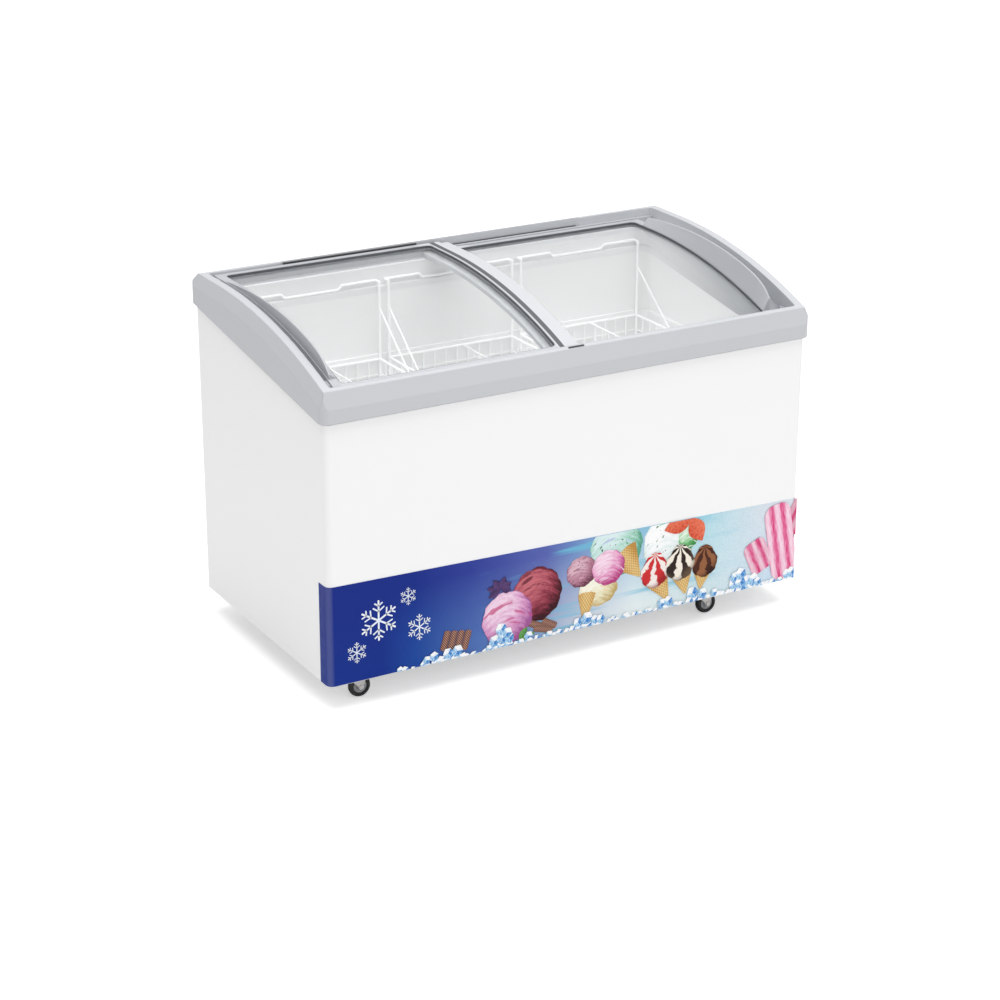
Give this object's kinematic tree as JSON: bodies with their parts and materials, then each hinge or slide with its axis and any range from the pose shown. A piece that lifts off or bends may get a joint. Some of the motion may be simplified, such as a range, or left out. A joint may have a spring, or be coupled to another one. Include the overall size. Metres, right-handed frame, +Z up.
{
  "type": "chest freezer",
  "caption": "Display chest freezer with curved sliding glass lids, grey top frame, hanging wire baskets, printed lower panel and swivel casters.",
  "frame": {"origin": "on the floor under the middle of the body", "axes": "+X to the right seen from the front, +Y to the back, +Z up"},
  "size_m": [1.2155, 0.641, 0.8045],
  "materials": {
    "white_steel": "smooth gloss white enamel",
    "bare_steel": "zinc plated",
    "liner_white": "smooth white",
    "foam": "rigid foam",
    "print": "printed film with a gloss laminate",
    "frame_grey": "fine satin",
    "collar_grey": "fine satin",
    "track_grey": "extruded",
    "seal_dark": "matt",
    "gasket_grey": "matt",
    "lid_grey": "satin moulding",
    "lid_clear": "frosted translucent",
    "lid_glass": "clear tempered",
    "wire_white": "dipped white coating",
    "black_paint": "semi-gloss black",
    "copper": "drawn tube",
    "fin_aluminium": "mill finish",
    "motor_steel": "laminated steel and die cast",
    "dark_plastic": "moulded",
    "white_plastic": "moulded",
    "rubber_black": "matt",
    "wheel_black": "moulded tread",
    "fork_zinc": "zinc plated"
  },
  "bodies": {
    "cabinet": {"outer_shell": "white_steel", "rear_panel": "white_steel", "base_pan": "bare_steel", "inner_liner": "liner_white", "evaporator_coil": "copper", "insulation_foam": "foam", "graphic_panel": "print", "top_frame": "frame_grey", "frame_collar": "collar_grey", "front_track": "track_grey", "rear_track": "track_grey", "rear_brush_seal": "seal_dark", "front_stop": "seal_dark", "end_stops": "collar_grey", "compressor": "black_paint", "compressor_plate": "bare_steel", "compressor_grommets": "rubber_black", "relay_cover": "dark_plastic", "condenser": "fin_aluminium", "fan_shroud": "bare_steel", "fan_motor": "motor_steel", "filter_drier": "copper", "pipework": "copper", "side_grille": "white_plastic", "rear_grille": "white_plastic", "panel_screws": "bare_steel", "control_panel": "white_plastic", "thermostat": "dark_plastic", "power_cord": "rubber_black", "drain_tube": "white_plastic", "caster_plates": "fork_zinc", "caster_bolts": "bare_steel"},
    "fan": {"fan_blade": "fin_aluminium"},
    "knob": {"thermostat_knob": "dark_plastic"},
    "switch": {"power_switch": "dark_plastic"},
    "plug": {"drain_plug": "rubber_black"},
    "left_lid": {"left_lid_glass": "lid_glass", "left_lid_gasket": "gasket_grey", "left_lid_front_rail": "lid_clear", "left_lid_rear_rail": "lid_grey", "left_lid_outer_rail": "lid_grey", "left_lid_inner_rail": "lid_grey"},
    "right_lid": {"right_lid_glass": "lid_glass", "right_lid_gasket": "gasket_grey", "right_lid_front_rail": "lid_clear", "right_lid_rear_rail": "lid_grey", "right_lid_outer_rail": "lid_grey", "right_lid_inner_rail": "lid_grey"},
    "basket_1": {"wire_basket_1": "wire_white"},
    "basket_2": {"wire_basket_2": "wire_white"},
    "basket_3": {"wire_basket_3": "wire_white"},
    "caster_1": {"caster_fork_1": "fork_zinc"},
    "wheel_1": {"caster_wheel_1": "wheel_black"},
    "caster_2": {"caster_fork_2": "fork_zinc"},
    "wheel_2": {"caster_wheel_2": "wheel_black"},
    "caster_3": {"caster_fork_3": "fork_zinc"},
    "wheel_3": {"caster_wheel_3": "wheel_black"},
    "caster_4": {"caster_fork_4": "fork_zinc"},
    "wheel_4": {"caster_wheel_4": "wheel_black"}
  },
  "joints": [
    {"name": "left_lid_slide", "type": "slide", "parent": "cabinet", "child": "left_lid", "axis": [1, 0, 0], "range_m": [0, 0.48]},
    {"name": "right_lid_slide", "type": "slide", "parent": "cabinet", "child": "right_lid", "axis": [1, 0, 0], "range_m": [-0.48, 0.03]},
    {"name": "fan_spin", "type": "hinge", "parent": "cabinet", "child": "fan", "pos_m": [0.472, -0.052, 0.175], "axis": [0, 1, 0], "continuous": true},
    {"name": "knob_turn", "type": "hinge", "parent": "cabinet", "child": "knob", "pos_m": [0.605, -0.273, 0.15], "axis": [1, 0, 0], "range_deg": [0, 270]},
    {"name": "switch_rock", "type": "hinge", "parent": "cabinet", "child": "switch", "pos_m": [0.595, -0.273, 0.215], "axis": [0, 1, 0], "range_deg": [-8, 8]},
    {"name": "plug_lift", "type": "slide", "parent": "cabinet", "child": "plug", "axis": [0, 0, 1], "range_m": [0, 0.03]},
    {"name": "basket_1_lift", "type": "slide", "parent": "cabinet", "child": "basket_1", "axis": [0, 0, 1], "range_m": [0, 0.02]},
    {"name": "basket_2_lift", "type": "slide", "parent": "cabinet", "child": "basket_2", "axis": [0, 0, 1], "range_m": [0, 0.02]},
    {"name": "basket_3_lift", "type": "slide", "parent": "cabinet", "child": "basket_3", "axis": [0, 0, 1], "range_m": [0, 0.02]},
    {"name": "caster_1_swivel", "type": "hinge", "parent": "cabinet", "child": "caster_1", "pos_m": [-0.515, -0.2625, 0.055], "axis": [0, 0, 1], "continuous": true},
    {"name": "wheel_1_roll", "type": "hinge", "parent": "caster_1", "child": "wheel_1", "pos_m": [-0.501, -0.2625, 0.025], "axis": [0, 1, 0], "continuous": true},
    {"name": "caster_2_swivel", "type": "hinge", "parent": "cabinet", "child": "caster_2", "pos_m": [-0.515, 0.25, 0.055], "axis": [0, 0, 1], "continuous": true},
    {"name": "wheel_2_roll", "type": "hinge", "parent": "caster_2", "child": "wheel_2", "pos_m": [-0.501, 0.25, 0.025], "axis": [0, 1, 0], "continuous": true},
    {"name": "caster_3_swivel", "type": "hinge", "parent": "cabinet", "child": "caster_3", "pos_m": [0.371, -0.2625, 0.055], "axis": [0, 0, 1], "continuous": true},
    {"name": "wheel_3_roll", "type": "hinge", "parent": "caster_3", "child": "wheel_3", "pos_m": [0.385, -0.2625, 0.025], "axis": [0, 1, 0], "continuous": true},
    {"name": "caster_4_swivel", "type": "hinge", "parent": "cabinet", "child": "caster_4", "pos_m": [0.371, 0.25, 0.055], "axis": [0, 0, 1], "continuous": true},
    {"name": "wheel_4_roll", "type": "hinge", "parent": "caster_4", "child": "wheel_4", "pos_m": [0.385, 0.25, 0.025], "axis": [0, 1, 0], "continuous": true}
  ]
}
